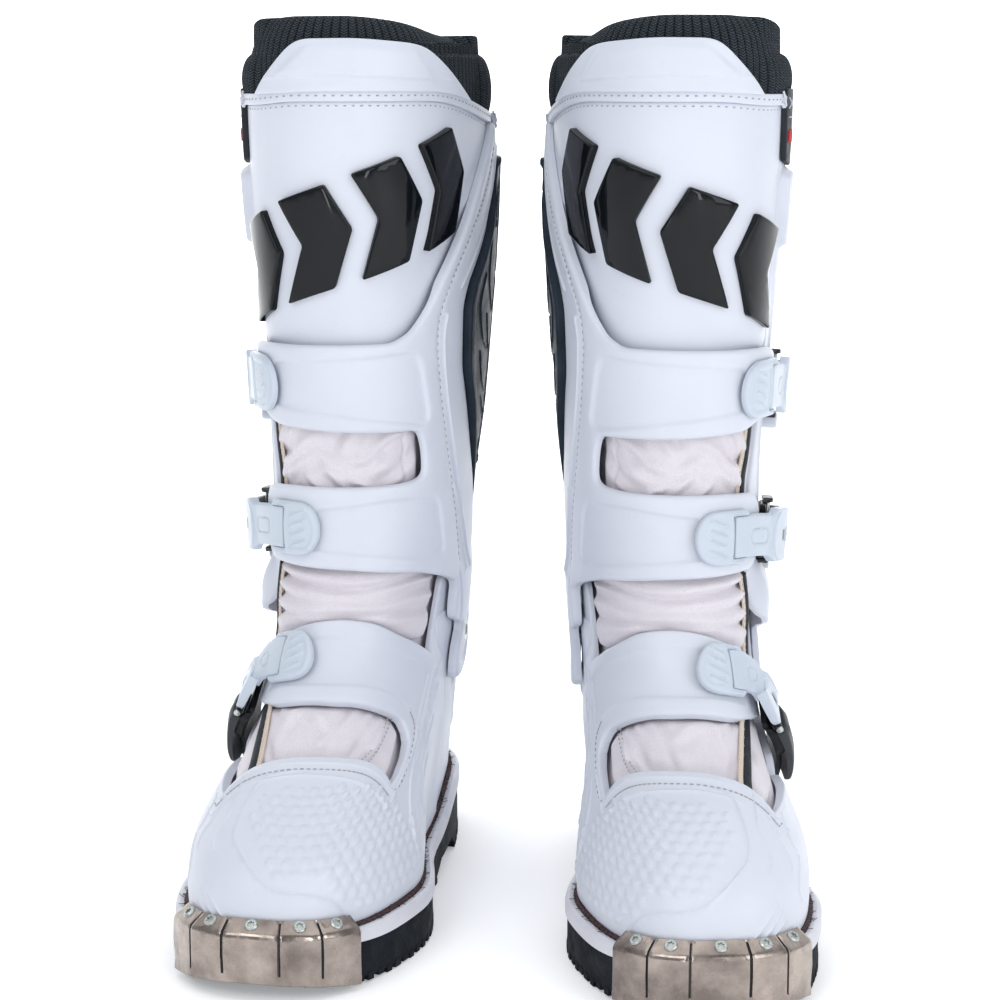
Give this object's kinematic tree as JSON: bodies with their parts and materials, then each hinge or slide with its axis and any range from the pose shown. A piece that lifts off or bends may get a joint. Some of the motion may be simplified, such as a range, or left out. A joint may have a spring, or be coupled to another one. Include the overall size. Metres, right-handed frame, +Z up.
{
  "type": "motocross riding boots",
  "caption": "Pair of tall white off-road riding boots with hinged ankles, lever-buckle straps, steel toe guards and knit top gaiters.",
  "frame": {"origin": "on the floor, below the middle of the box round both boots", "axes": "+Z up, toes towards -Y, right boot on the -X side"},
  "size_m": [0.2952, 0.3232, 0.4235],
  "materials": {
    "shell_white": "satin moulded plastic, cool white",
    "strap_white": "satin moulded nylon, slightly blue white",
    "cream_leather": "soft coated leather, pinkish white",
    "welt_white": "matt white rubber",
    "sole_rubber": "rough black rubber",
    "shield_rubber": "embossed black rubber, half gloss",
    "gaiter_knit": "ribbed elastic knit, charcoal",
    "lining": "padded textile lining, grey",
    "buckle_black": "black moulded nylon",
    "guard_steel": "polished stamped steel, warm tint",
    "hardware_steel": "zinc-plated steel"
  },
  "bodies": {
    "right_foot": {"right_outsole": "sole_rubber", "right_midsole": "welt_white", "right_insole": "lining", "right_toe_guard": "guard_steel", "right_toe_shell": "shell_white", "right_foot_upper": "cream_leather", "right_heel_cup": "shell_white", "right_ankle_pin_inner": "hardware_steel", "right_ankle_pin_outer": "hardware_steel", "right_bellows": "cream_leather", "right_lower_buckle_base": "buckle_black"},
    "right_leg": {"right_leg_upper": "cream_leather", "right_tongue": "lining", "right_gaiter": "gaiter_knit", "right_top_guard": "shell_white", "right_shin_plate": "shell_white", "right_calf_shell": "shell_white", "right_heat_shield": "shield_rubber", "right_cuff_frame": "shell_white", "right_upper_buckle_base": "buckle_black", "right_middle_buckle_base": "buckle_black"},
    "right_upper_strap_body": {"right_upper_strap_holder": "strap_white", "right_upper_strap": "strap_white"},
    "right_upper_lever_body": {"right_upper_lever": "buckle_black"},
    "right_middle_strap_body": {"right_middle_strap_holder": "strap_white", "right_middle_strap": "strap_white"},
    "right_middle_lever_body": {"right_middle_lever": "buckle_black"},
    "right_lower_strap_body": {"right_lower_strap_holder": "strap_white", "right_lower_strap": "strap_white"},
    "right_lower_lever_body": {"right_lower_lever": "buckle_black"},
    "left_foot": {"left_outsole": "sole_rubber", "left_midsole": "welt_white", "left_insole": "lining", "left_toe_guard": "guard_steel", "left_toe_shell": "shell_white", "left_foot_upper": "cream_leather", "left_heel_cup": "shell_white", "left_ankle_pin_inner": "hardware_steel", "left_ankle_pin_outer": "hardware_steel", "left_bellows": "cream_leather", "left_lower_buckle_base": "buckle_black"},
    "left_leg": {"left_leg_upper": "cream_leather", "left_tongue": "lining", "left_gaiter": "gaiter_knit", "left_top_guard": "shell_white", "left_shin_plate": "shell_white", "left_calf_shell": "shell_white", "left_heat_shield": "shield_rubber", "left_cuff_frame": "shell_white", "left_upper_buckle_base": "buckle_black", "left_middle_buckle_base": "buckle_black"},
    "left_upper_strap_body": {"left_upper_strap_holder": "strap_white", "left_upper_strap": "strap_white"},
    "left_upper_lever_body": {"left_upper_lever": "buckle_black"},
    "left_middle_strap_body": {"left_middle_strap_holder": "strap_white", "left_middle_strap": "strap_white"},
    "left_middle_lever_body": {"left_middle_lever": "buckle_black"},
    "left_lower_strap_body": {"left_lower_strap_holder": "strap_white", "left_lower_strap": "strap_white"},
    "left_lower_lever_body": {"left_lower_lever": "buckle_black"}
  },
  "joints": [
    {"name": "boots_apart", "type": "slide", "parent": "right_foot", "child": "left_foot", "axis": [1, 0, 0], "range_m": [0, 0.1]},
    {"name": "right_ankle", "type": "hinge", "parent": "right_foot", "child": "right_leg", "pos_m": [-0.06043, 0.08192, 0.118], "axis": [0.9781, -0.2079, 0], "range_deg": [-8, 10], "stiffness_Nm_per_rad": 12, "deforming": ["right_bellows"]},
    {"name": "right_upper_strap_swing", "type": "hinge", "parent": "right_leg", "child": "right_upper_strap_body", "pos_m": [-0.10491, 0.00171, 0.25459], "axis": [-0.0194, -0.0876, 0.996], "range_deg": [0, 100]},
    {"name": "right_upper_lever_flip", "type": "hinge", "parent": "right_upper_strap_body", "child": "right_upper_lever_body", "pos_m": [-0.12319, 0.06702, 0.25432], "axis": [-0.0712, -0.106, 0.9918], "range_deg": [0, 100]},
    {"name": "right_middle_strap_swing", "type": "hinge", "parent": "right_leg", "child": "right_middle_strap_body", "pos_m": [-0.08186, -0.00844, 0.18421], "axis": [0.0085, 0.0375, 0.9993], "range_deg": [0, 90]},
    {"name": "right_middle_lever_flip", "type": "hinge", "parent": "right_middle_strap_body", "child": "right_middle_lever_body", "pos_m": [-0.12451, 0.05373, 0.18324], "axis": [-0.0532, 0.0083, 0.9985], "range_deg": [0, 100]},
    {"name": "right_lower_strap_swing", "type": "hinge", "parent": "right_foot", "child": "right_lower_strap_body", "pos_m": [-0.08238, -0.02136, 0.12937], "axis": [-0.0933, 0.5682, 0.8176], "range_deg": [0, 45]},
    {"name": "right_lower_lever_flip", "type": "hinge", "parent": "right_lower_strap_body", "child": "right_lower_lever_body", "pos_m": [-0.1261, 0.00204, 0.1015], "axis": [0.1386, 0.9187, 0.3699], "range_deg": [0, 75]},
    {"name": "left_ankle", "type": "hinge", "parent": "left_foot", "child": "left_leg", "pos_m": [0.08195, 0.06016, 0.118], "axis": [0.9986, 0.0523, 0], "range_deg": [-8, 10], "stiffness_Nm_per_rad": 12, "deforming": ["left_bellows"]},
    {"name": "left_upper_strap_swing", "type": "hinge", "parent": "left_leg", "child": "left_upper_strap_body", "pos_m": [0.11334, -0.02602, 0.25459], "axis": [-0.0054, 0.0896, -0.996], "range_deg": [0, 100]},
    {"name": "left_upper_lever_flip", "type": "hinge", "parent": "left_upper_strap_body", "child": "left_upper_lever_body", "pos_m": [0.14161, 0.03563, 0.25432], "axis": [-0.0537, 0.1159, -0.9918], "range_deg": [0, 100]},
    {"name": "left_middle_strap_swing", "type": "hinge", "parent": "left_leg", "child": "left_middle_strap_body", "pos_m": [0.08899, -0.03244, 0.18421], "axis": [0.0025, -0.0384, -0.9993], "range_deg": [0, 90]},
    {"name": "left_middle_lever_flip", "type": "hinge", "parent": "left_middle_strap_body", "child": "left_middle_lever_body", "pos_m": [0.14084, 0.02229, 0.18324], "axis": [-0.0539, 0.0002, -0.9985], "range_deg": [0, 100]},
    {"name": "left_lower_strap_swing", "type": "hinge", "parent": "left_foot", "child": "left_lower_strap_body", "pos_m": [0.08748, -0.04528, 0.12937], "axis": [-0.1811, -0.5466, -0.8176], "range_deg": [0, 45]},
    {"name": "left_lower_lever_flip", "type": "hinge", "parent": "left_lower_strap_body", "child": "left_lower_lever_body", "pos_m": [0.13432, -0.02901, 0.1015], "axis": [-0.0068, -0.929, -0.3699], "range_deg": [0, 75]}
  ]
}
